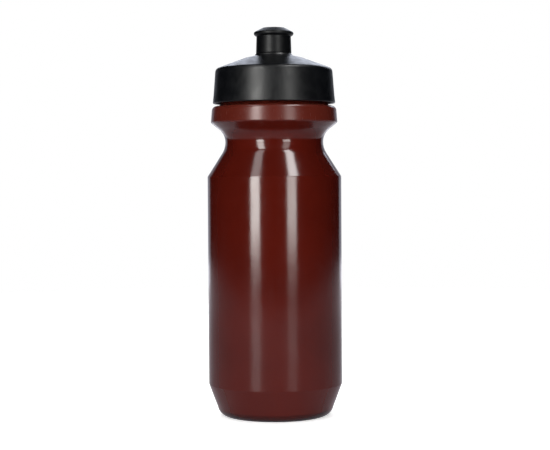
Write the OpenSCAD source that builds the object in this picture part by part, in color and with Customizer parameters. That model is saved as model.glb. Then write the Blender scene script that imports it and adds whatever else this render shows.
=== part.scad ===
// Sports squeeze bottle: a blow-moulded bottle with a finger groove, a screw lid with a spout
// tower, a push-pull nozzle, and the seals between them. The nozzle is pushed down, closed.
// Millimetres, +Z up, origin at the centre of the base.

/* [Bottle] */
// Radius of the straight barrel, which a bicycle bottle cage grips
barrel_r = 36.75; // [36:0.25:38]
// Height of the barrel's upper corner, where the shoulder starts
barrel_top = 132; // [110:1:160]
// Height of the tapered heel, where the barrel starts
heel_h = 17.7; // [15.5:0.1:20]
// Radius of the heel's lower corner
foot_r = 30.3; // [30:0.1:31]
// Radius of the finger groove
waist_r = 26.85; // [26.6:0.05:27.4]
// Radius of the rounded collar between the groove and the lid
collar_r = 34.75; // [34:0.25:35.5]
// How far the centre of the base is pushed up
push_up = 4; // [3:0.5:6]
// Wall thickness of the bottle
wall = 1.3; // [1.1:0.1:1.4]

/* [Neck and thread] */
// Outer radius of the neck, under its thread
neck_r = 29.2; // [29.1:0.1:29.3]
// Height of the neck above the collar
neck_h = 17.2; // [17:0.1:18]
// Rise of the thread in one turn
thread_pitch = 6; // [5.5:0.25:6]
// Turns of thread on the neck
neck_turns = 1.25; // [1:0.05:1.3]
// Turns of thread in the lid
lid_turns = 1; // [0.8:0.05:1]
// How far each thread stands out
thread_depth = 1.3; // [1:0.1:1.3]

/* [Lid] */
// Radius of the skirt's lower edge
skirt_r = 33.75; // [33.6:0.05:34.2]
// Radius of the skirt's upper corner
brow_r = 32.15; // [32:0.05:32.4]
// Gap between the collar's edge and the skirt
lid_gap = 1.65; // [1.4:0.05:2]
// Thickness of the gasket on the bottle's lip
gasket_h = 1.3; // [1:0.1:1.5]

/* [Spout] */
// Radius of the nozzle at its lower end
nozzle_r = 9.75; // [9.5:0.05:10]
// Radius of the nozzle's bite flange
bite_r = 11.1; // [10.8:0.1:11.5]
// Height of the nozzle
nozzle_h = 14.2; // [14:0.1:15]
// How far the nozzle pulls up to open
nozzle_travel = 5.5; // [4.5:0.5:6]
// Radius of the drinking hole, which the lid's pin plugs
hole_r = 3.2; // [2.8:0.1:3.3]

/* [Hidden] */
$fn = 96;

// Heights up the bottle
shoulder_h = 15.6;
waist_h = 7.8;
flare_h = 6.2;
collar_h = 8.9;
groove_low = barrel_top + shoulder_h;
groove_high = groove_low + waist_h;
collar_low = groove_high + flare_h;
collar_top = collar_low + collar_h;
collar_crown = 0.3;
lip_z = collar_top + neck_h;

// Heights up the lid
skirt_low = collar_top + lid_gap;
seat_z = lip_z + gasket_h;
brow_z = seat_z + 2.1;
dome_z = brow_z + 6;
tower_foot = dome_z + 1.2;
spout_seat = tower_foot + 1.2;

// Nozzle, pushed down. Its inner lip runs on the tower, and its bore on the tower's end stop.
slide_play = 0.1;
nozzle_low = spout_seat + slide_play;
nozzle_top = nozzle_low + nozzle_h;
flange_low = nozzle_top - 4.6;
chamber_top = nozzle_top - 3.2;
core_top = chamber_top - 1;
core_r = 8.1;
core_bore = 6.85;
lip_h = 1.4;

// Spout tower, its end stop, its O-ring groove and its closing pin
tower_r = 6;
tower_bore = 4.7;
stop_r = core_bore - slide_play;
stop_low = nozzle_low + lip_h + nozzle_travel;
tower_top = stop_low + 3;
ring_groove_r = 5.9;
ring_groove_low = stop_low + 0.8;
ring_groove_h = 1.4;
pin_r = hole_r - slide_play;
rib_w = 1.1;

// Threads: each ridge is a trapezium, and the lid's hooks in under the bottle's
ridge_root = 2.8;
ridge_crest = 1.2;
neck_ridge_sunk = 0.5;
lid_ridge_sunk = 1.1;
flank_play = 0.35;
neck_crest_r = neck_r + thread_depth;
lid_crest_r = neck_r + 0.4;
lid_wall_r = lid_crest_r + thread_depth;
neck_thread_z = collar_top + 4.2;
lid_thread_z = skirt_low + 2.8;
flank_slope = (ridge_root - ridge_crest) / thread_depth;
hook_drop = (ridge_root + ridge_crest - flank_slope * (lid_crest_r - neck_r)) / 2 + flank_play;
lid_thread_turn = 360 * (lid_thread_z - neck_thread_z + hook_drop) / thread_pitch;

bottle_colour = "#5a1610";
lid_colour = "#1c1e20";
spout_colour = "#222426";
seal_colour = "#c9c9c2";
seal_play = 0.03;

// ---- Outlines: lists of [radius, height, rounding] corners, turned about Z ----

// Points of the arc that rounds corner b, between a and c
function arc_at(a, b, c, r) =
    let (
        u = (a - b) / norm(a - b),
        v = (c - b) / norm(c - b),
        half = acos(max(-1, min(1, u * v))) / 2,
        centre = b + (u + v) / norm(u + v) * r / sin(half),
        start = b + u * r / tan(half) - centre,
        end = b + v * r / tan(half) - centre,
        from = atan2(start.y, start.x),
        turn = atan2(end.y, end.x) - from,
        sweep = turn > 180 ? turn - 360 : turn < -180 ? turn + 360 : turn,
        steps = max(3, ceil(abs(sweep) / 9))
    )
    [for (i = [0:steps]) centre + r * [cos(from + sweep * i / steps), sin(from + sweep * i / steps)]];

function flat(p) = [p.x, p.y];

// A closed outline with its corners rounded
function rounded(corners) =
    let (n = len(corners))
    [for (i = [0:n - 1])
        let (p = corners[i])
        each p[2] == 0
            ? [flat(p)]
            : arc_at(flat(corners[(i + n - 1) % n]), flat(p), flat(corners[(i + 1) % n]), p[2])];

// The unit vector a quarter turn left of a to b
function left_of(a, b) = let (d = flat(b) - flat(a)) [-d.y, d.x] / norm(d);

// The corners of an open outline moved t to its left, with their roundings made to suit
function moved_in(corners, t) =
    let (n = len(corners))
    [for (i = [0:n - 1])
        let (
            p = corners[i],
            before = left_of(corners[max(i - 1, 0)], corners[max(i, 1)]),
            after = left_of(corners[min(i, n - 2)], corners[min(i + 1, n - 1)]),
            bend = sign(before.x * after.y - before.y * after.x),
            place = flat(p) + t * (before + after) / (1 + before * after)
        )
        [place.x, place.y, p[2] == 0 ? 0 : max(0.3, p[2] - bend * t)]];

function reversed(list) = [for (i = [len(list) - 1:-1:0]) list[i]];

// A ridge that climbs round a wall, rooted sunk deep in it. It fades into the wall at both ends.
module thread_ridge(root_r, crest_r, low_z, turns, sunk, start = 0) {
    step = 7.5;
    fade = 30;
    fade_root = 0.3;
    outward = sign(crest_r - root_r);
    total = turns * 360;
    n = round(total / step);
    function height(a) = min(1, a / fade, (total - a) / fade);
    function ring(a) =
        let (
            z = low_z + thread_pitch * a / 360,
            root = root_r - outward * sunk,
            faded = root + outward * fade_root,
            crest = faded + (crest_r - faded) * height(a),
            half_root = (ridge_root + (ridge_root - ridge_crest) * sunk / thread_depth) / 2,
            half_crest = half_root - (half_root - ridge_crest / 2) * abs(crest - root)
                / (thread_depth + sunk)
        )
        [for (p = [[root, -half_root], [crest, -half_crest], [crest, half_crest], [root, half_root]])
            [p.x * cos(start + a), p.x * sin(start + a), z + p.y]];
    points = [for (i = [0:n]) each ring(total * i / n)];
    // The corners of an inward ridge run the other way round, so its faces are turned over
    side = [for (i = [0:n - 1]) for (k = [0:3])
        let (a = 4 * i + k, b = 4 * i + (k + 1) % 4)
        each [[a, b, b + 4], [a, b + 4, a + 4]]];
    ends = [[0, 3, 2], [0, 2, 1], [4 * n, 4 * n + 1, 4 * n + 2], [4 * n, 4 * n + 2, 4 * n + 3]];
    faces = concat(side, ends);
    polyhedron(points, outward > 0 ? faces : [for (f = faces) reversed(f)]);
}

// ---- The pieces ----

// Blow-moulded shell: pushed-up base, tapered heel, barrel, shoulder, finger groove, hollow
// collar and threaded neck
module bottle_body() {
    outside = [
        [0, push_up, 0],
        [foot_r - 22, push_up, 30],
        [foot_r - 12.3, push_up * 0.85, 4],
        [foot_r - 9, 0, 1.4],
        [foot_r, 0, 6.2],
        [barrel_r - 4.25, heel_h * 0.36, 2],
        [barrel_r, heel_h, 0.9],
        [barrel_r, barrel_top, 0.9],
        [waist_r, groove_low, 11.8],
        [waist_r, groove_high, 9],
        [collar_r, collar_low, 1.3],
        [collar_r - 0.7, collar_top, 2.4],
        [neck_r, collar_top + collar_crown, 0.5],
        [neck_r, lip_z, 0.5]
    ];
    color(bottle_colour)
    union() {
        rotate_extrude() polygon(rounded(concat(outside, reversed(moved_in(outside, wall)))));
        thread_ridge(neck_r, neck_crest_r, neck_thread_z, neck_turns, neck_ridge_sunk);
    }
}

// Moulded lid: skirt with its thread inside, cone, gasket seat, plug ring and hollow spout
// tower, whose pin stands on four ribs
module lid() {
    plug_r = 26.7;
    plug_low = lip_z - 1.8;
    plug_wall = 1.3;
    roof = 1.7;
    mouth_r = lid_wall_r + 0.6;
    outline = [
        [skirt_r, skirt_low, 0.5],
        [skirt_r - 0.5, skirt_low + 4.6, 6],
        [brow_r, brow_z, 2.6],
        [16, dome_z, 12],
        [nozzle_r + 0.95, tower_foot, 0.9],
        [nozzle_r + 0.05, spout_seat, 0.25],
        [tower_r, spout_seat, 0.3],
        [tower_r, stop_low, 0],
        [stop_r, stop_low + 0.2, 0],
        [stop_r, ring_groove_low, 0],
        [ring_groove_r, ring_groove_low, 0],
        [ring_groove_r, ring_groove_low + ring_groove_h, 0],
        [stop_r, ring_groove_low + ring_groove_h, 0],
        [tower_r + 0.3, tower_top, 0.2],
        [tower_bore, tower_top, 0.2],
        [tower_bore, tower_foot - roof, 1],
        [16, dome_z - roof, 12],
        [plug_r - plug_wall, brow_z + (brow_r - plug_r) * 0.365 - roof + 0.4, 0.6],
        [plug_r - plug_wall, plug_low, 0.4],
        [plug_r, plug_low, 0.3],
        [plug_r + 0.35, plug_low + 0.8, 0.15],
        [plug_r, plug_low + 1.4, 0],
        [plug_r, seat_z, 0],
        [lid_wall_r - 0.25, seat_z, 0.3],
        [mouth_r, skirt_low, 0.4]
    ];
    color(lid_colour)
    union() {
        rotate_extrude() polygon(rounded(outline));
        thread_ridge(lid_wall_r, lid_crest_r, lid_thread_z, lid_turns, lid_ridge_sunk, lid_thread_turn);
        closing_pin();
    }
}

// The pin that plugs the drinking hole, and the ribs that carry it in the tower's bore
module closing_pin() {
    rib_low = spout_seat + 1;
    rib_h = stop_low - rib_low + 1;
    translate([0, 0, rib_low]) cylinder(h = nozzle_top - rib_low - 1, r = pin_r);
    translate([0, 0, nozzle_top - 1]) cylinder(h = 0.6, r1 = pin_r, r2 = pin_r - 0.5);
    for (turn = [0, 90])
        rotate(turn)
            translate([-tower_bore - 0.4, -rib_w / 2, rib_low])
                cube([2 * tower_bore + 0.8, rib_w, rib_h]);
}

// Flat silicone ring between the bottle's lip and the lid's seat
module lid_gasket() {
    inner = 26.85;
    outer = 30.4;
    color(seal_colour)
    rotate_extrude()
        polygon(rounded([
            [inner, lip_z + seal_play, 0.25],
            [outer, lip_z + seal_play, 0.35],
            [outer, seat_z - seal_play, 0.35],
            [inner, seat_z - seal_play, 0.25]
        ]));
}

// O-ring in the tower's groove, which wipes the nozzle's bore
module spout_o_ring() {
    section = (core_bore - ring_groove_r) / 2 - seal_play;
    color(seal_colour)
    translate([0, 0, ring_groove_low + ring_groove_h / 2])
        rotate_extrude()
            translate([(core_bore + ring_groove_r) / 2, 0])
                circle(r = section, $fn = 32);
}

// Stiff tube inside the nozzle: its inner lip meets the tower's end stop when pulled up
module nozzle_core() {
    lip_r = tower_r + slide_play;
    color(spout_colour)
    rotate_extrude()
        polygon(rounded([
            [lip_r + 0.3, nozzle_low, 0],
            [core_r, nozzle_low, 0],
            [core_r, nozzle_low + 3, 0.2],
            [core_r + 0.5, nozzle_low + 3.6, 0.2],
            [core_r + 0.5, nozzle_low + 4.6, 0.2],
            [core_r, nozzle_low + 5.2, 0.2],
            [core_r, core_top, 0],
            [core_bore, core_top, 0.2],
            [core_bore, nozzle_low + lip_h + 0.2, 0],
            [lip_r, nozzle_low + lip_h - 0.1, 0],
            [lip_r, nozzle_low + 0.4, 0]
        ]));
}

// Soft moulding bonded round the core: its head carries the bite flange and the drinking hole
module mouthpiece() {
    color(spout_colour)
    rotate_extrude()
        polygon(rounded([
            [core_r, nozzle_low, 0],
            [nozzle_r, nozzle_low, 0.35],
            [nozzle_r - 0.3, flange_low, 0.25],
            [bite_r - 0.9, flange_low, 0.3],
            [bite_r + 0.75, flange_low + 1.6, 1.2],
            [6.1, nozzle_top - 0.1, 1.5],
            [hole_r, nozzle_top, 0.4],
            [hole_r, chamber_top, 0.3],
            [core_bore, chamber_top, 0.3],
            [core_bore, core_top, 0],
            [core_r, core_top, 0],
            [core_r, nozzle_low + 5.2, 0.2],
            [core_r + 0.5, nozzle_low + 4.6, 0.2],
            [core_r + 0.5, nozzle_low + 3.6, 0.2],
            [core_r, nozzle_low + 3, 0.2]
        ]));
}

bottle_body();
lid();
lid_gasket();
spout_o_ring();
nozzle_core();
mouthpiece();
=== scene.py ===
"""Looks of the sports squeeze bottle: its shells, plastics, studio and camera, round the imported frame.

Sizes are in metres, in the frame's own axes: Z is up along the bottle, and its front faces -Y.
"""

import math

import bmesh
import bpy
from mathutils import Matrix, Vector


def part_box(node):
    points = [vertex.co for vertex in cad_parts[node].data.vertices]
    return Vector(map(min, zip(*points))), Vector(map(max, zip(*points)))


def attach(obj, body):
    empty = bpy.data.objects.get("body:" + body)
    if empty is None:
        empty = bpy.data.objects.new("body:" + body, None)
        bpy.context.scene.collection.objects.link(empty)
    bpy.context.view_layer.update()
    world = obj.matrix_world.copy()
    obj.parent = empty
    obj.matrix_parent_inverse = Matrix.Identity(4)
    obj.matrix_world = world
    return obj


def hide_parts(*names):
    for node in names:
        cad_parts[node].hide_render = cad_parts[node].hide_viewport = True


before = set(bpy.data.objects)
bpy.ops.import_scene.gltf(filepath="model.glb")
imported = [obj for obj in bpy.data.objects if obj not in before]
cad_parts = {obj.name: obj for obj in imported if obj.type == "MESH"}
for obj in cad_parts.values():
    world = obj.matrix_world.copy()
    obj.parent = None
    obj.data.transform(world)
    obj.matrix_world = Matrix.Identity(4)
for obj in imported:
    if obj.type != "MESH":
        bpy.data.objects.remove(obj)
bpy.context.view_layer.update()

MM = 0.001
FULL_TURN = 2 * math.pi

# ---- Sizes, from the frame ----

body_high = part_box("bottle_body")[1]
lid_low, lid_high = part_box("lid")
mouth_low, mouth_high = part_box("mouthpiece")
gasket_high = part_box("lid_gasket")[1]

BARREL_R = body_high.x
LIP_Z = body_high.z
SKIRT_ROUNDED_OFF = 0.05 * MM  # by the rounding of its lower edge
SKIRT_R = lid_high.x + SKIRT_ROUNDED_OFF
SKIRT_LOW = lid_low.z
SPOUT_TOP = mouth_high.z

# Bottle, inwards from its barrel and down from its lip
WALL = 1.3 * MM
NECK_R = BARREL_R - 7.55 * MM
WAIST_R = BARREL_R - 9.9 * MM
COLLAR_R = BARREL_R - 2 * MM
FOOT_R = BARREL_R - 6.45 * MM
COLLAR_TOP = LIP_Z - 17.2 * MM
COLLAR_LOW = COLLAR_TOP - 8.9 * MM
GROOVE_HIGH = COLLAR_LOW - 6.2 * MM
GROOVE_LOW = GROOVE_HIGH - 7.8 * MM
BARREL_TOP = GROOVE_LOW - 15.6 * MM
HEEL_H = 17.7 * MM
PUSH_UP = 4 * MM

# Marks of the bottle's mould: the parting line up its sides and the pinched seam under its base
PARTING_H = 0.1 * MM
PARTING_W = 0.22 * MM
PINCH_H = 0.5 * MM
PINCH_W = 0.45 * MM
PINCH_R = FOOT_R - 13.5 * MM

# Lid, up from the gasket's seat
SEAT_Z = gasket_high.z + 0.03 * MM
BROW_R = SKIRT_R - 1.6 * MM
BROW_Z = SEAT_Z + 2.1 * MM
CONE_BEND_R = 16 * MM
CONE_BEND = 12 * MM
CONE_SLOPE = 0.365
CONE_Z = BROW_Z + 6 * MM
ROOF = 1.7 * MM

# Spout: the nozzle, and the tower and closing pin inside it
TOWER_FOOT = CONE_Z + 1.2 * MM
SPOUT_SEAT = mouth_low.z - 0.1 * MM
NOZZLE_R = 9.75 * MM
BITE_R = mouth_high.x
HOLE_R = 3.2 * MM
CORE_R = 8.1 * MM
CORE_BORE = 6.85 * MM
TOWER_R = 6 * MM
TOWER_BORE = 4.7 * MM
STOP_R = CORE_BORE - 0.1 * MM
STOP_LOW = mouth_low.z + 6.9 * MM
TOWER_TOP = STOP_LOW + 3 * MM
PIN_R = HOLE_R - 0.1 * MM
RIB_LOW = SPOUT_SEAT + 1 * MM
RIB_HIGH = STOP_LOW + 1 * MM
RIB_WIDE = 1.1 * MM
RIB_LONG = 2 * TOWER_BORE + 0.8 * MM

# Screw thread, the same on the neck and in the lid
PITCH = 6 * MM
THREAD_DEPTH = 1.3 * MM
RIDGE_ROOT = 2.8 * MM
RIDGE_CREST = 1.2 * MM
LID_CREST_R = NECK_R + 0.4 * MM
LID_WALL_R = LID_CREST_R + THREAD_DEPTH
LID_MOUTH_R = LID_WALL_R + 0.6 * MM
NECK_THREAD_Z = COLLAR_TOP + 4.2 * MM
NECK_TURNS = 1.25
LID_THREAD_Z = SKIRT_LOW + 2.8 * MM
LID_TURNS = 1

# The lid's ridge hooks under the neck's: this far below it, which says where its thread starts
FLANK_SLOPE = (RIDGE_ROOT - RIDGE_CREST) / THREAD_DEPTH
FLANK_PLAY = 0.35 * MM
HOOK_DROP = (RIDGE_ROOT + RIDGE_CREST - FLANK_SLOPE * (LID_CREST_R - NECK_R)) / 2 + FLANK_PLAY
LID_THREAD_TURN = FULL_TURN * (LID_THREAD_Z - NECK_THREAD_Z + HOOK_DROP) / PITCH


# ---- Outlines: lists of (radius, height, rounding) corners, turned about Z ----

ARC_STEP = math.radians(4)
SUPPORT = 0.2 * MM
LONG_STEP = 5 * MM
BASE_STEP = 1 * MM
THREAD_STEP = 0.22 * MM
LEAST_ROUNDING = 0.3 * MM


def arc_at(before, corner, after, rounding):
    """Points of the arc that rounds a corner."""
    u = (before - corner).normalized()
    v = (after - corner).normalized()
    half = u.angle(v) / 2
    centre = corner + (u + v).normalized() * rounding / math.sin(half)
    start = corner + u * rounding / math.tan(half) - centre
    end = corner + v * rounding / math.tan(half) - centre
    turn = math.atan2(start.x * end.y - start.y * end.x, start.dot(end))
    steps = max(3, math.ceil(abs(turn) / ARC_STEP))
    points = []
    for i in range(steps + 1):
        c, s = math.cos(turn * i / steps), math.sin(turn * i / steps)
        points.append(centre + Vector((start.x * c - start.y * s, start.x * s + start.y * c)))
    return points


def rounded(corners, closed):
    """An outline's points, with its corners rounded. The ends of an open one stay as they are."""
    count = len(corners)
    points = []
    for i, (r, z, rounding) in enumerate(corners):
        corner = Vector((r, z))
        if rounding == 0 or (not closed and i in (0, count - 1)):
            points.append(corner)
        else:
            before = Vector(corners[i - 1][:2])
            after = Vector(corners[(i + 1) % count][:2])
            points += arc_at(before, corner, after, rounding)
    return points


def left_of(a, b):
    """The unit vector a quarter turn left of a to b."""
    d = (Vector(b[:2]) - Vector(a[:2])).normalized()
    return Vector((-d.y, d.x))


def moved_in(corners, depth):
    """An open outline moved to its left, with its roundings made to suit."""
    last = len(corners) - 1
    moved = []
    for i, (r, z, rounding) in enumerate(corners):
        before = left_of(corners[max(i - 1, 0)], corners[max(i, 1)])
        after = left_of(corners[min(i, last - 1)], corners[min(i + 1, last)])
        bend = before.x * after.y - before.y * after.x
        shift = (before + after) * depth / (1 + before.dot(after))
        if rounding and abs(bend) > 1e-9:
            rounding = max(LEAST_ROUNDING, rounding - math.copysign(depth, bend))
        moved.append((r + shift.x, z + shift.y, rounding))
    return moved


def with_support(points, closed, step):
    """Splits an outline's long stretches, with a point close to each end so that shading stays flat.

    step(a, b) says how long the parts between a and b may be.
    """
    out = []
    pairs = zip(points, points[1:] + points[:1]) if closed else zip(points, points[1:])
    for a, b in pairs:
        out.append(a)
        length = (b - a).length
        if length <= 3 * SUPPORT:
            continue
        inner = length - 2 * SUPPORT
        parts = max(1, math.ceil(inner / step(a, b)))
        out += [a.lerp(b, (SUPPORT + inner * i / parts) / length) for i in range(parts + 1)]
    if not closed:
        out.append(points[-1])
    return out


def plain_step(_a, _b):
    """The step for an outline without a thread."""
    return LONG_STEP


# ---- Meshes ----

SEGMENTS = 192
SMALL_SEGMENTS = 128
PIN_SEGMENTS = 96
SHARP_OVER = math.radians(38)
ON_AXIS = 1e-7


def even_turns(segments=SEGMENTS):
    """Angles evenly round one full turn."""
    return [FULL_TURN * i / segments for i in range(segments)]


def made(name, mesh):
    """Links a mesh as a smooth-shaded object whose sharp edges stay sharp."""
    mesh.shade_smooth()
    mesh.set_sharp_from_angle(angle=SHARP_OVER)
    obj = bpy.data.objects.new(name, mesh)
    bpy.context.scene.collection.objects.link(obj)
    return obj


def ring_of(bm, point, index, turns, moved):
    """The vertices of one outline point all the way round, or a single one on the axis."""
    if point.x < ON_AXIS:
        return [bm.verts.new((0, 0, point.y))]
    ring = []
    for turn in turns:
        r, z = moved(point.x, point.y, turn, index) if moved else point
        ring.append(bm.verts.new((r * math.cos(turn), r * math.sin(turn), z)))
    return ring


def join_rings(bm, low, high, count):
    """Faces between two rings, which close to a fan where one of them is on the axis."""
    if len(low) == 1 and len(high) == 1:
        return
    for i in range(count):
        j = (i + 1) % count
        if len(low) == 1:
            bm.faces.new((low[0], high[j], high[i]))
        elif len(high) == 1:
            bm.faces.new((low[i], low[j], high[0]))
        else:
            bm.faces.new((low[i], low[j], high[j], high[i]))


def turned(name, points, turns, moved=None, closed=True):
    """A mesh object that turns an outline about Z. moved(r, z, turn, index) may shift each vertex."""
    bm = bmesh.new()
    rings = [ring_of(bm, point, index, turns, moved) for index, point in enumerate(points)]
    for low, high in zip(rings, rings[1:] + rings[:1] if closed else rings[1:]):
        join_rings(bm, low, high, len(turns))
    bmesh.ops.recalc_face_normals(bm, faces=bm.faces)
    mesh = bpy.data.meshes.new(name)
    bm.to_mesh(mesh)
    bm.free()
    return made(name, mesh)


def smooth(t):
    """An S-shaped ramp from 0 to 1."""
    t = min(1, max(0, t))
    return t * t * (3 - 2 * t)


def ridge_share(z, turn, low_z, turns, start):
    """How much of the thread's full depth stands at a height and a turn: 0 to 1."""
    fade = math.radians(30)
    best = 0
    first = (turn - start) % FULL_TURN
    for lap in range(math.ceil(turns)):
        along = first + lap * FULL_TURN
        left = turns * FULL_TURN - along
        if left <= 0:
            continue
        off = abs(z - low_z - PITCH * along / FULL_TURN)
        flank = (RIDGE_ROOT / 2 - off) / (RIDGE_ROOT / 2 - RIDGE_CREST / 2)
        best = max(best, smooth(flank) * min(1, along / fade, left / fade))
    return best


# ---- The bottle ----

def bottle_outside():
    """The bottle's outer outline, from the middle of its base to its lip."""
    dome_r = FOOT_R - 22 * MM
    push_up_r = FOOT_R - 12.3 * MM
    push_up_z = PUSH_UP * 0.85
    stand_r = FOOT_R - 9 * MM
    heel_bend_r = BARREL_R - 4.25 * MM
    heel_bend_z = HEEL_H * 0.36
    collar_top_r = COLLAR_R - 0.7 * MM
    neck_foot_z = COLLAR_TOP + 0.3 * MM
    return [
        (0, PUSH_UP, 0),
        (dome_r, PUSH_UP, 30 * MM),
        (push_up_r, push_up_z, 4 * MM),
        (stand_r, 0, 1.4 * MM),
        (FOOT_R, 0, 6.2 * MM),
        (heel_bend_r, heel_bend_z, 2 * MM),
        (BARREL_R, HEEL_H, 0.9 * MM),
        (BARREL_R, BARREL_TOP, 0.9 * MM),
        (WAIST_R, GROOVE_LOW, 11.8 * MM),
        (WAIST_R, GROOVE_HIGH, 9 * MM),
        (COLLAR_R, COLLAR_LOW, 1.3 * MM),
        (collar_top_r, COLLAR_TOP, 2.4 * MM),
        (NECK_R, neck_foot_z, 2.2 * MM),
        (NECK_R, LIP_Z, 0.5 * MM),
    ]


def bottle_turns():
    """Angles round the bottle, with some more beside the parting line."""
    beside = [off * MM / BARREL_R for off in (0.1, 0.22, 0.38, 0.6)]
    extra = {(half + angle) % FULL_TURN for half in (0, math.pi) for angle in beside}
    extra |= {(half - angle) % FULL_TURN for half in (0, math.pi) for angle in beside}
    return sorted(set(even_turns()) | extra)


def make_bottle():
    """The blow-moulded shell, with its neck thread, the parting line and the base's pinched seam."""
    thread_low = COLLAR_TOP + 1 * MM
    thread_high = LIP_Z - 1 * MM
    base_r = FOOT_R - 8 * MM
    outside = bottle_outside()
    inside = list(reversed(moved_in(outside, WALL)))

    def step(a, b):
        beside_neck = a.x > NECK_R - 0.1 * MM and b.x < NECK_R + 0.1 * MM
        if beside_neck and a.y > thread_low - 1 * MM:
            return THREAD_STEP
        return BASE_STEP if max(a.x, b.x) < base_r else LONG_STEP

    points = with_support(rounded(outside + inside, closed=True), True, step)
    lip_index = max(range(len(points)), key=lambda i: points[i].y)

    def moved(r, z, turn, index):
        if index > lip_index:
            return r, z
        off = r * math.sin(turn)
        if r < PINCH_R + 1 * MM:
            fade = smooth((PINCH_R - r) / MM + 1)
            return r, z - PINCH_H * math.exp(-(off / PINCH_W) ** 2) * fade
        if thread_low < z < thread_high:
            share = ridge_share(z, turn, NECK_THREAD_Z, NECK_TURNS, 0)
            return r + THREAD_DEPTH * share, z
        if z < COLLAR_TOP:
            fade = smooth((z - 3 * MM) / (2 * MM))
            return r + PARTING_H * math.exp(-(off / PARTING_W) ** 2) * fade, z
        return r, z

    return turned("bottle_shell", points, bottle_turns(), moved)


# ---- The lid ----

def lid_outline():
    """The lid's outline: up the skirt, over cone and tower, then back inside by plug ring and seat."""
    return [
        (SKIRT_R, SKIRT_LOW, 0.5 * MM),
        (SKIRT_R - 0.5 * MM, SKIRT_LOW + 4.6 * MM, 6 * MM),
        (BROW_R, BROW_Z, 2.6 * MM),
        (CONE_BEND_R, CONE_Z, CONE_BEND),
        (NOZZLE_R + 0.95 * MM, TOWER_FOOT, 0.9 * MM),
        (NOZZLE_R + 0.05 * MM, SPOUT_SEAT, 0.25 * MM),
        *tower_outline(),
        (CONE_BEND_R, CONE_Z - ROOF, CONE_BEND),
        *plug_outline(),
        (LID_WALL_R - 0.25 * MM, SEAT_Z, 0.3 * MM),
        (LID_MOUTH_R, SKIRT_LOW, 0.4 * MM),
    ]


def tower_outline():
    """The spout tower's part of it: the wall, the O-ring's groove in the stop, and the bore."""
    groove_low = STOP_LOW + 0.8 * MM
    groove_high = groove_low + 1.4 * MM
    groove_r = 5.9 * MM
    return [
        (TOWER_R, SPOUT_SEAT, 0.3 * MM),
        (TOWER_R, STOP_LOW, 0),
        (STOP_R, STOP_LOW + 0.2 * MM, 0),
        (STOP_R, groove_low, 0),
        (groove_r, groove_low, 0),
        (groove_r, groove_high, 0),
        (STOP_R, groove_high, 0),
        (TOWER_R + 0.3 * MM, TOWER_TOP, 0.2 * MM),
        (TOWER_BORE, TOWER_TOP, 0.2 * MM),
        (TOWER_BORE, TOWER_FOOT - ROOF, 1 * MM),
    ]


def plug_outline():
    """The plug ring's part of it: down inside the neck, round the bead, and up to the seat."""
    plug_r = 26.7 * MM
    plug_bore = plug_r - 1.3 * MM
    plug_low = LIP_Z - 1.8 * MM
    under_cone = BROW_Z + (BROW_R - plug_r) * CONE_SLOPE - ROOF + 0.4 * MM
    return [
        (plug_bore, under_cone, 0.6 * MM),
        (plug_bore, plug_low, 0.4 * MM),
        (plug_r, plug_low, 0.3 * MM),
        (plug_r + 0.35 * MM, plug_low + 0.8 * MM, 0.15 * MM),
        (plug_r, plug_low + 1.4 * MM, 0),
        (plug_r, SEAT_Z, 0),
    ]


def on_thread_wall(r, z):
    """Whether a point is on the skirt's inner wall, between its roundings."""
    inside = LID_WALL_R - 0.3 * MM < r < LID_MOUTH_R + 0.05 * MM
    return inside and SKIRT_LOW + 0.45 * MM < z < SEAT_Z - 0.35 * MM


def make_lid():
    """The screw lid: skirt and thread, cone, gasket seat, plug ring and spout tower."""
    def step(a, b):
        return THREAD_STEP if on_thread_wall(*a.lerp(b, 0.5)) else LONG_STEP

    def moved(r, z, turn, _index):
        if not on_thread_wall(r, z):
            return r, z
        share = ridge_share(z, turn, LID_THREAD_Z, LID_TURNS, LID_THREAD_TURN)
        return r + (LID_CREST_R - r) * share, z

    points = with_support(rounded(lid_outline(), closed=True), True, step)
    return turned("lid_shell", points, even_turns(), moved)


def make_closing_pin():
    """The pin that plugs the drinking hole, with the mark of the mould's gate on its tip."""
    tip = SPOUT_TOP - 0.4 * MM
    gate_z = tip - 0.15 * MM
    outline = [
        (0, RIB_LOW, 0),
        (PIN_R, RIB_LOW, 0.3 * MM),
        (PIN_R, tip - 0.6 * MM, 0.3 * MM),
        (PIN_R - 0.5 * MM, tip, 0.3 * MM),
        (0.6 * MM, tip, 0.1 * MM),
        (0.5 * MM, gate_z, 0.1 * MM),
        (0, gate_z, 0),
    ]
    points = with_support(rounded(outline, closed=False), False, plain_step)
    return turned("closing_pin", points, even_turns(PIN_SEGMENTS), closed=False)


def make_pin_ribs():
    """The four ribs that carry the pin, as two crossed bars."""
    bm = bmesh.new()
    for size in ((RIB_LONG, RIB_WIDE), (RIB_WIDE, RIB_LONG)):
        bmesh.ops.create_cube(bm, size=1)
        for v in bm.verts[-8:]:
            v.co.x *= size[0]
            v.co.y *= size[1]
            v.co.z = (RIB_LOW + RIB_HIGH) / 2 + v.co.z * (RIB_HIGH - RIB_LOW)
    mesh = bpy.data.meshes.new("pin_ribs")
    bm.to_mesh(mesh)
    bm.free()
    return made("pin_ribs", mesh)


# ---- The nozzle ----

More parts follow.
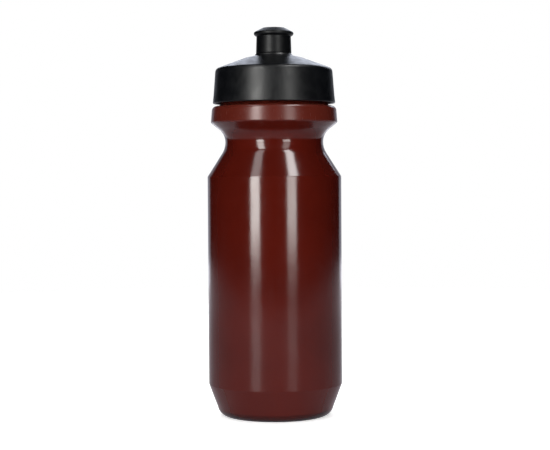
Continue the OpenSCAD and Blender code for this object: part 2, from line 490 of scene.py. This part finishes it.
def make_mouthpiece():
    """The nozzle's soft moulding: sleeve, bite flange and head with the drinking hole."""
    low = mouth_low.z
    flange_low = SPOUT_TOP - 4.6 * MM
    head_r = 6.1 * MM
    chamber_top = SPOUT_TOP - 3.2 * MM
    core_top = chamber_top - 1 * MM
    lock_r = CORE_R + 0.5 * MM
    outline = [
        (CORE_R, low, 0),
        (NOZZLE_R, low, 0.35 * MM),
        (NOZZLE_R - 0.3 * MM, flange_low, 0.25 * MM),
        (BITE_R - 0.9 * MM, flange_low, 0.3 * MM),
        (BITE_R + 0.75 * MM, flange_low + 1.6 * MM, 1.2 * MM),
        (head_r, SPOUT_TOP - 0.1 * MM, 1.5 * MM),
        (HOLE_R, SPOUT_TOP, 0.4 * MM),
        (HOLE_R, chamber_top, 0.3 * MM),
        (CORE_BORE, chamber_top, 0.3 * MM),
        (CORE_BORE, core_top, 0),
        (CORE_R, core_top, 0),
        (CORE_R, low + 5.2 * MM, 0.2 * MM),
        (lock_r, low + 4.6 * MM, 0.2 * MM),
        (lock_r, low + 3.6 * MM, 0.2 * MM),
        (CORE_R, low + 3 * MM, 0.2 * MM),
    ]
    points = with_support(rounded(outline, closed=True), True, plain_step)
    return turned("mouthpiece_skin", points, even_turns(SMALL_SEGMENTS))


# ---- Materials ----

class Material:
    """A material and the nodes behind it. Textures are placed in metres, on the object."""

    def __init__(self, name):
        self.material = bpy.data.materials.new(name)
        self.material.use_nodes = True
        self.tree = self.material.node_tree
        self.shader = self.tree.nodes["Principled BSDF"]
        self.place = self.add("ShaderNodeTexCoord").outputs["Object"]

    def add(self, kind, **settings):
        """A new node, with its settings."""
        node = self.tree.nodes.new(kind)
        for key, value in settings.items():
            setattr(node, key, value)
        return node

    def join(self, source, socket):
        """Links an output to an input."""
        self.tree.links.new(source, socket)

    def height(self):
        """The height of a place above the floor."""
        node = self.add("ShaderNodeSeparateXYZ")
        self.join(self.place, node.inputs[0])
        return node.outputs["Z"]

    def stretched(self, scale, turn=(0, 0, 0)):
        """Places for a texture, scaled along each axis and turned."""
        node = self.add("ShaderNodeMapping")
        self.join(self.place, node.inputs["Vector"])
        node.inputs["Scale"].default_value = scale
        node.inputs["Rotation"].default_value = turn
        return node.outputs["Vector"]

    def noise(self, scale, detail=2, roughness=0.5, place=None):
        """Cloudy noise round 0.5, with about so many clouds to a metre."""
        node = self.add("ShaderNodeTexNoise")
        self.join(place or self.place, node.inputs["Vector"])
        node.inputs["Scale"].default_value = scale
        node.inputs["Detail"].default_value = detail
        node.inputs["Roughness"].default_value = roughness
        return node.outputs["Fac"]

    def cells(self, scale):
        """Soft round cells, 0 in the middle of each."""
        node = self.add("ShaderNodeTexVoronoi", feature="SMOOTH_F1")
        self.join(self.place, node.inputs["Vector"])
        node.inputs["Scale"].default_value = scale
        return node.outputs["Distance"]

    def span(self, value, low, high, to_low, to_high):
        """Turns a value's stretch from low to high into one from to_low to to_high, with soft ends."""
        node = self.add("ShaderNodeMapRange", interpolation_type="SMOOTHSTEP")
        self.join(value, node.inputs["Value"])
        sockets = ("From Min", "From Max", "To Min", "To Max")
        for socket, number in zip(sockets, (low, high, to_low, to_high)):
            node.inputs[socket].default_value = number
        return node.outputs["Result"]

    def varied(self, noise, low, high):
        """A value that drifts between low and high with a noise."""
        return self.span(noise, 0.3, 0.7, low, high)

    def maths(self, operation, a, b):
        """A sum or product of sockets or numbers."""
        node = self.add("ShaderNodeMath", operation=operation)
        for socket, value in zip(node.inputs, (a, b)):
            if isinstance(value, (int, float)):
                socket.default_value = value
            else:
                self.join(value, socket)
        return node.outputs["Value"]

    def raised(self, value, share, amount):
        """A value with so much added to it where share is 1."""
        return self.maths("ADD", value, self.maths("MULTIPLY", share, amount))

    def blend(self, share, a, b):
        """Colour a where share is 0 and b where it is 1."""
        node = self.add("ShaderNodeMix", data_type="RGBA")
        self.join(share, node.inputs["Factor"])
        for socket, colour in ((node.inputs[6], a), (node.inputs[7], b)):
            if isinstance(colour, tuple):
                socket.default_value = (*colour, 1)
            else:
                self.join(colour, socket)
        return node.outputs[2]

    def clouded(self, noise, a, b):
        """A colour that drifts between a and b with a noise."""
        return self.blend(self.varied(noise, 0, 1), a, b)

    def bump(self, height, distance, strength, below=None):
        """Relief of a height so far tall, on top of the relief below it."""
        node = self.add("ShaderNodeBump")
        self.join(height, node.inputs["Height"])
        node.inputs["Distance"].default_value = distance
        node.inputs["Strength"].default_value = strength
        if below:
            self.join(below, node.inputs["Normal"])
        return node.outputs["Normal"]

    def scratches(self, fineness, length, turn, amount):
        """Thin straight marks along one direction: 1 on a mark and 0 off it."""
        fine = self.noise(1, detail=1, place=self.stretched((fineness, fineness, 1 / length), turn))
        return self.span(fine, 0.5 + amount, 0.53 + amount, 0, 1)

    def set_shader(self, **constants):
        """Sets constants on the shader's sockets, named with _ for each space."""
        for socket, value in constants.items():
            self.shader.inputs[socket.replace("_", " ")].default_value = value

    def finish(self, colour, roughness, normal, **constants):
        """Joins up the shader, and gives the finished material."""
        self.join(colour, self.shader.inputs["Base Color"])
        self.join(roughness, self.shader.inputs["Roughness"])
        self.join(normal, self.shader.inputs["Normal"])
        self.set_shader(**constants)
        return self.material


def bottle_plastic():
    """Maroon LDPE: satin gloss, fine grain, faint orange peel, hairline rubs, and a duller collar whose
    colour is painted lighter, as painted light for the brighter light that falls on it.
    """
    dark, light = (0.068, 0.0052, 0.0024), (0.078, 0.0062, 0.0030)
    # The collar's colours are painted lighter than the body's: painted light standing in for the
    # brighter light on the collar
    collar_painted_lit_dark, collar_painted_lit_light = (0.090, 0.0115, 0.0062), (0.104, 0.0145, 0.0085)
    pale_fleck = (0.09, 0.012, 0.007)
    extra_rough = 0.12

    m = Material("bottle_plastic")
    cloud = m.noise(35, detail=3)
    fleck = m.span(m.noise(1600, detail=1), 0.62, 0.75, 0, 0.35)
    rub = m.scratches(2600, 0.03, (0.05, 0.03, 0), 0.19)
    # Share of the collar and all above it: it carries the collar's painted lighter colour and its real
    # extra roughness
    collar = m.span(m.height(), COLLAR_LOW - 0.5 * MM, COLLAR_LOW + 1 * MM, 0, 1)

    colour = m.blend(fleck, m.clouded(cloud, dark, light), pale_fleck)
    # Above the collar's lower edge the painted lighter colour takes over, as painted light
    colour = m.blend(collar, colour, m.clouded(cloud, collar_painted_lit_dark, collar_painted_lit_light))
    rough = m.varied(m.noise(160, detail=3), 0.115, 0.145)
    rough = m.raised(rough, rub, extra_rough)
    rough = m.raised(rough, collar, extra_rough)
    normal = m.bump(m.noise(330, detail=1), 0.05 * MM, 0.12)
    normal = m.bump(m.noise(900, detail=1), 0.03 * MM, 0.2, normal)
    normal = m.bump(m.noise(2100, detail=2, roughness=0.6), 0.02 * MM, 0.35, normal)
    return m.finish(colour, rough, normal, IOR=1.5, Specular_IOR_Level=0.42)


def lid_plastic():
    """Black polypropylene with the fine matte texture of a spark-eroded mould."""
    dark, light = (0.0008, 0.0010, 0.0016), (0.0016, 0.0020, 0.0028)

    m = Material("lid_plastic")
    colour = m.clouded(m.noise(60, detail=3), dark, light)
    rough = m.varied(m.noise(240, detail=3), 0.33, 0.41)
    normal = m.bump(m.cells(2400), 0.02 * MM, 0.3)
    normal = m.bump(m.noise(3800, detail=2, roughness=0.65), 0.02 * MM, 0.5, normal)
    return m.finish(colour, rough, normal, IOR=1.49, Specular_IOR_Level=0.4)


def mouthpiece_rubber():
    """Black soft elastomer: satin, with a slight bloom and a fine grain."""
    dark, bloom = (0.0010, 0.0012, 0.0017), (0.0018, 0.0021, 0.0028)

    m = Material("mouthpiece_rubber")
    colour = m.blend(m.span(m.noise(180, detail=3), 0.35, 0.7, 0, 1), dark, bloom)
    rough = m.varied(m.noise(420, detail=3), 0.38, 0.44)
    normal = m.bump(m.noise(3200, detail=2, roughness=0.6), 0.02 * MM, 0.4)
    return m.finish(colour, rough, normal, IOR=1.5, Specular_IOR_Level=0.26)


def core_plastic():
    """Black polypropylene, smooth from a polished mould, with drawn marks along its slide."""
    dark, light = (0.012, 0.0125, 0.013), (0.018, 0.0185, 0.019)

    m = Material("core_plastic")
    colour = m.clouded(m.noise(90, detail=2), dark, light)
    drag = m.scratches(3000, 0.02, (0, 0, 0), 0.08)
    rough = m.raised(m.varied(m.noise(300), 0.28, 0.36), drag, 0.15)
    return m.finish(colour, rough, m.bump(m.noise(2500), 0.01 * MM, 0.3), IOR=1.49)


def seal_silicone():
    """Milky silicone: soft satin, faintly mottled, with a dusting of lint."""
    milky, clear = (0.50, 0.50, 0.46), (0.62, 0.62, 0.59)
    lint_grey = (0.32, 0.31, 0.29)

    m = Material("seal_silicone")
    lint = m.span(m.noise(1500, detail=1), 0.68, 0.74, 0, 0.4)
    colour = m.blend(lint, m.clouded(m.noise(220, detail=3), milky, clear), lint_grey)
    rough = m.varied(m.noise(500), 0.42, 0.55)
    return m.finish(colour, rough, m.bump(m.noise(2800), 0.015 * MM, 0.4), IOR=1.43)


def wear(obj, material):
    """Gives an object one material."""
    obj.data.materials.clear()
    obj.data.materials.append(material)


# ---- Lights ----

COOL = (0.82, 0.87, 1)
WARM = (1, 1, 0.97)
WHITE = (1, 1, 1)

# The tall strips in front: how far off and wide they are, and where their lengths meet
STRIP_FAR = 1.1
STRIP_WIDE = 0.30
STRIP_HEIGHTS = (0.045, 0.26, 0.36, 1.15)

# The sloping strips over them
TOP_AT = (0.57, -0.42, 1.42)
TOP_LONG = 0.9
TOP_SLOPE = math.radians(18)

BACK_Y = 0.95
ROOM_DIM = (0.004, 0.005, 0.0075)


def softbox(name, at, target, size, power, seen_in_gloss=True, lights_matte=True, colour=WHITE):
    """A soft rectangular light that the camera doesn't see. It may work on gloss or matte alone."""
    data = bpy.data.lights.new(name, "AREA")
    data.shape = "RECTANGLE"
    data.size, data.size_y = size
    data.energy = power
    data.color = colour
    obj = bpy.data.objects.new(name, data)
    obj.location = at
    obj.rotation_euler = (Vector(target) - Vector(at)).to_track_quat("-Z", "Y").to_euler()
    obj.visible_camera = False
    obj.visible_glossy = seen_in_gloss
    obj.visible_diffuse = lights_matte
    bpy.context.scene.collection.objects.link(obj)
    return obj


def gloss_light(name, at, target, size, power, colour=WHITE):
    """A softbox that only the gloss shows."""
    return softbox(name, at, target, size, power, lights_matte=False, colour=colour)


def matte_light(name, at, target, size, power):
    """A softbox that lights the surface and isn't mirrored in it."""
    return softbox(name, at, target, size, power, seen_in_gloss=False)


def round_from_front(azimuth, distance):
    """A place on the floor plan, so many degrees round the bottle from its front."""
    angle = math.radians(azimuth)
    return distance * math.sin(angle), -distance * math.cos(angle)


def light_side(side, azimuth, strip_powers, matte_power, top_power):
    """One side's lights: a tall strip in three lengths, a matte light, and a sloping strip on top."""
    x, y = round_from_front(azimuth, STRIP_FAR)
    for part, power in enumerate(strip_powers):
        low, high = STRIP_HEIGHTS[part:part + 2]
        z = (low + high) / 2
        gloss_light(f"{side}_strip_{part}", (x, y, z), (0, 0, z), (STRIP_WIDE, high - low), power, WARM)

    x, y = round_from_front(0.72 * azimuth, 1.05 * STRIP_FAR)
    low, high = STRIP_HEIGHTS[0], STRIP_HEIGHTS[-1]
    z = (low + high) / 2
    matte_light(f"{side}_matte", (x, y, z), (0, 0, z), (STRIP_WIDE, high - low), matte_power)

    top_x, top_y, top_z = TOP_AT
    at = (math.copysign(top_x, azimuth), top_y, top_z)
    top = gloss_light(f"{side}_top", at, (0, 0, 0), (STRIP_WIDE, TOP_LONG), top_power)
    top.rotation_euler = (TOP_SLOPE, 0, 0)


def light_back():
    """The pale sheet behind, in three bands that only the gloss shows, and a soft matte light."""
    for name, x, z, size, power in (
        ("back_low", 0, 0.13, (1.28, 0.26), 0.58),
        ("back_mid", 0, 0.35, (1.28, 0.18), 0.28),
        ("back_high", 0.16, 0.70, (0.76, 0.52), 4.0),
    ):
        gloss_light(name, (x, BACK_Y, z), (x, 0, z), size, power, COOL)
    matte_light("back_matte", at=(0, 1.3, 0.5), target=(0, 0, 0.1), size=(0.9, 0.9), power=12)


def light_studio():
    """All the lights. Those from the floor and from overhead work on the matte surface alone."""
    light_side("left", -32.8, strip_powers=(3.5, 0.78, 10.0), matte_power=11.5, top_power=4.2)
    light_side("right", 29.0, strip_powers=(2.3, 0.30, 3.3), matte_power=7.0, top_power=12.8)
    light_back()
    matte_light("floor_bounce", at=(0, -0.25, 0.004), target=(0, -0.25, 1), size=(1.4, 0.6), power=1.6)
    matte_light("floor_light", at=(0, 0.45, 1.5), target=(0, 0, 0), size=(1.6, 1.0), power=13)


def light_world():
    """White behind the bottle for the camera, and a dim room for everything else."""
    world = bpy.data.worlds.new("studio_room")
    bpy.context.scene.world = world
    world.use_nodes = True
    tree = world.node_tree
    path = tree.nodes.new("ShaderNodeLightPath")
    mix = tree.nodes.new("ShaderNodeMix")
    mix.data_type = "RGBA"
    mix.inputs[6].default_value = (*ROOM_DIM, 1)
    mix.inputs[7].default_value = (*WHITE, 1)
    tree.links.new(path.outputs["Is Camera Ray"], mix.inputs["Factor"])
    tree.links.new(mix.outputs[2], tree.nodes["Background"].inputs["Color"])


# ---- Floor and camera ----

CAMERA_AT = (0.0003, -0.82, 0.1298)
CAMERA_TILT = math.radians(1.72)
CAMERA_ROLL = math.radians(0.33)
SENSOR_MM = 36
LENS_MM = 97.2


def glowing_material(name, dark, light, glow, roughness, specular):
    """A faintly cloudy material that glows in its own colour."""
    m = Material(name)
    colour = m.clouded(m.noise(14, detail=3), dark, light)
    m.join(colour, m.shader.inputs["Base Color"])
    m.join(colour, m.shader.inputs["Emission Color"])
    m.set_shader(Emission_Strength=glow, Roughness=roughness, Specular_IOR_Level=specular)
    return m


def floor_disc(name, material, radius):
    """A flat round stage piece at floor level."""
    bm = bmesh.new()
    bmesh.ops.create_circle(bm, cap_ends=True, radius=radius, segments=96)
    mesh = bpy.data.meshes.new(name)
    bm.to_mesh(mesh)
    bm.free()
    disc = bpy.data.objects.new(name, mesh)
    bpy.context.scene.collection.objects.link(disc)
    wear(disc, material)
    return disc


def make_seen_floor():
    """The pale floor that the camera sees, which fades into the white around it."""
    dark, light = (0.86, 0.86, 0.86), (0.89, 0.89, 0.89)
    radius, fade_from, fade_to = 1.1, 0.35, 1.0
    name = "studio_floor"
    m = glowing_material(name, dark, light, glow=0.72, roughness=0.8, specular=0)
    reach = m.add("ShaderNodeVectorMath", operation="LENGTH")
    m.join(m.place, reach.inputs[0])
    m.join(m.span(reach.outputs["Value"], fade_from, fade_to, 1, 0), m.shader.inputs["Alpha"])
    disc = floor_disc(name, m.material, radius)
    disc.visible_glossy = False
    disc.visible_diffuse = False


def make_mirrored_floor():
    """The greyer, satin floor that only the gloss shows, a hair lower and further back."""
    dark, light = (0.44, 0.43, 0.47), (0.50, 0.49, 0.53)
    name = "studio_floor_in_gloss"
    m = glowing_material(name, dark, light, glow=0.5, roughness=0.5, specular=0.32)
    disc = floor_disc(name, m.material, 1.2)
    disc.location = (0, 0.5, -0.1 * MM)
    disc.visible_camera = False
    disc.visible_diffuse = False
    disc.visible_shadow = False


def place_camera():
    """Level with the shoulder, 0.82 m in front, tilted down a little and rolled a hair."""
    data = bpy.data.cameras.new("camera")
    data.sensor_width = SENSOR_MM
    data.lens = LENS_MM
    data.clip_start = 0.01
    obj = bpy.data.objects.new("camera", data)
    obj.location = CAMERA_AT
    obj.rotation_mode = "XYZ"
    obj.rotation_euler = (math.radians(90) - CAMERA_TILT, CAMERA_ROLL, 0)
    bpy.context.scene.collection.objects.link(obj)
    bpy.context.scene.camera = obj


# ---- The scene ----

def stand_for(obj, node, body, material):
    """Puts a finished piece in place of a CAD node."""
    wear(obj, material)
    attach(obj, body)
    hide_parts(node)


def dress_pieces():
    """Puts the finished pieces in place, and gives the CAD nodes that stay their materials."""
    black = lid_plastic()
    stand_for(make_bottle(), "bottle_body", "bottle", bottle_plastic())
    stand_for(make_lid(), "lid", "lid", black)
    for part in (make_closing_pin(), make_pin_ribs()):
        wear(part, black)
        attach(part, "lid")
    stand_for(make_mouthpiece(), "mouthpiece", "nozzle", mouthpiece_rubber())
    seal = seal_silicone()
    wear(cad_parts["lid_gasket"], seal)
    wear(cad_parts["spout_o_ring"], seal)
    wear(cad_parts["nozzle_core"], core_plastic())


dress_pieces()
make_seen_floor()
make_mirrored_floor()
light_studio()
light_world()
place_camera()
bpy.context.scene.view_settings.view_transform = "Standard"
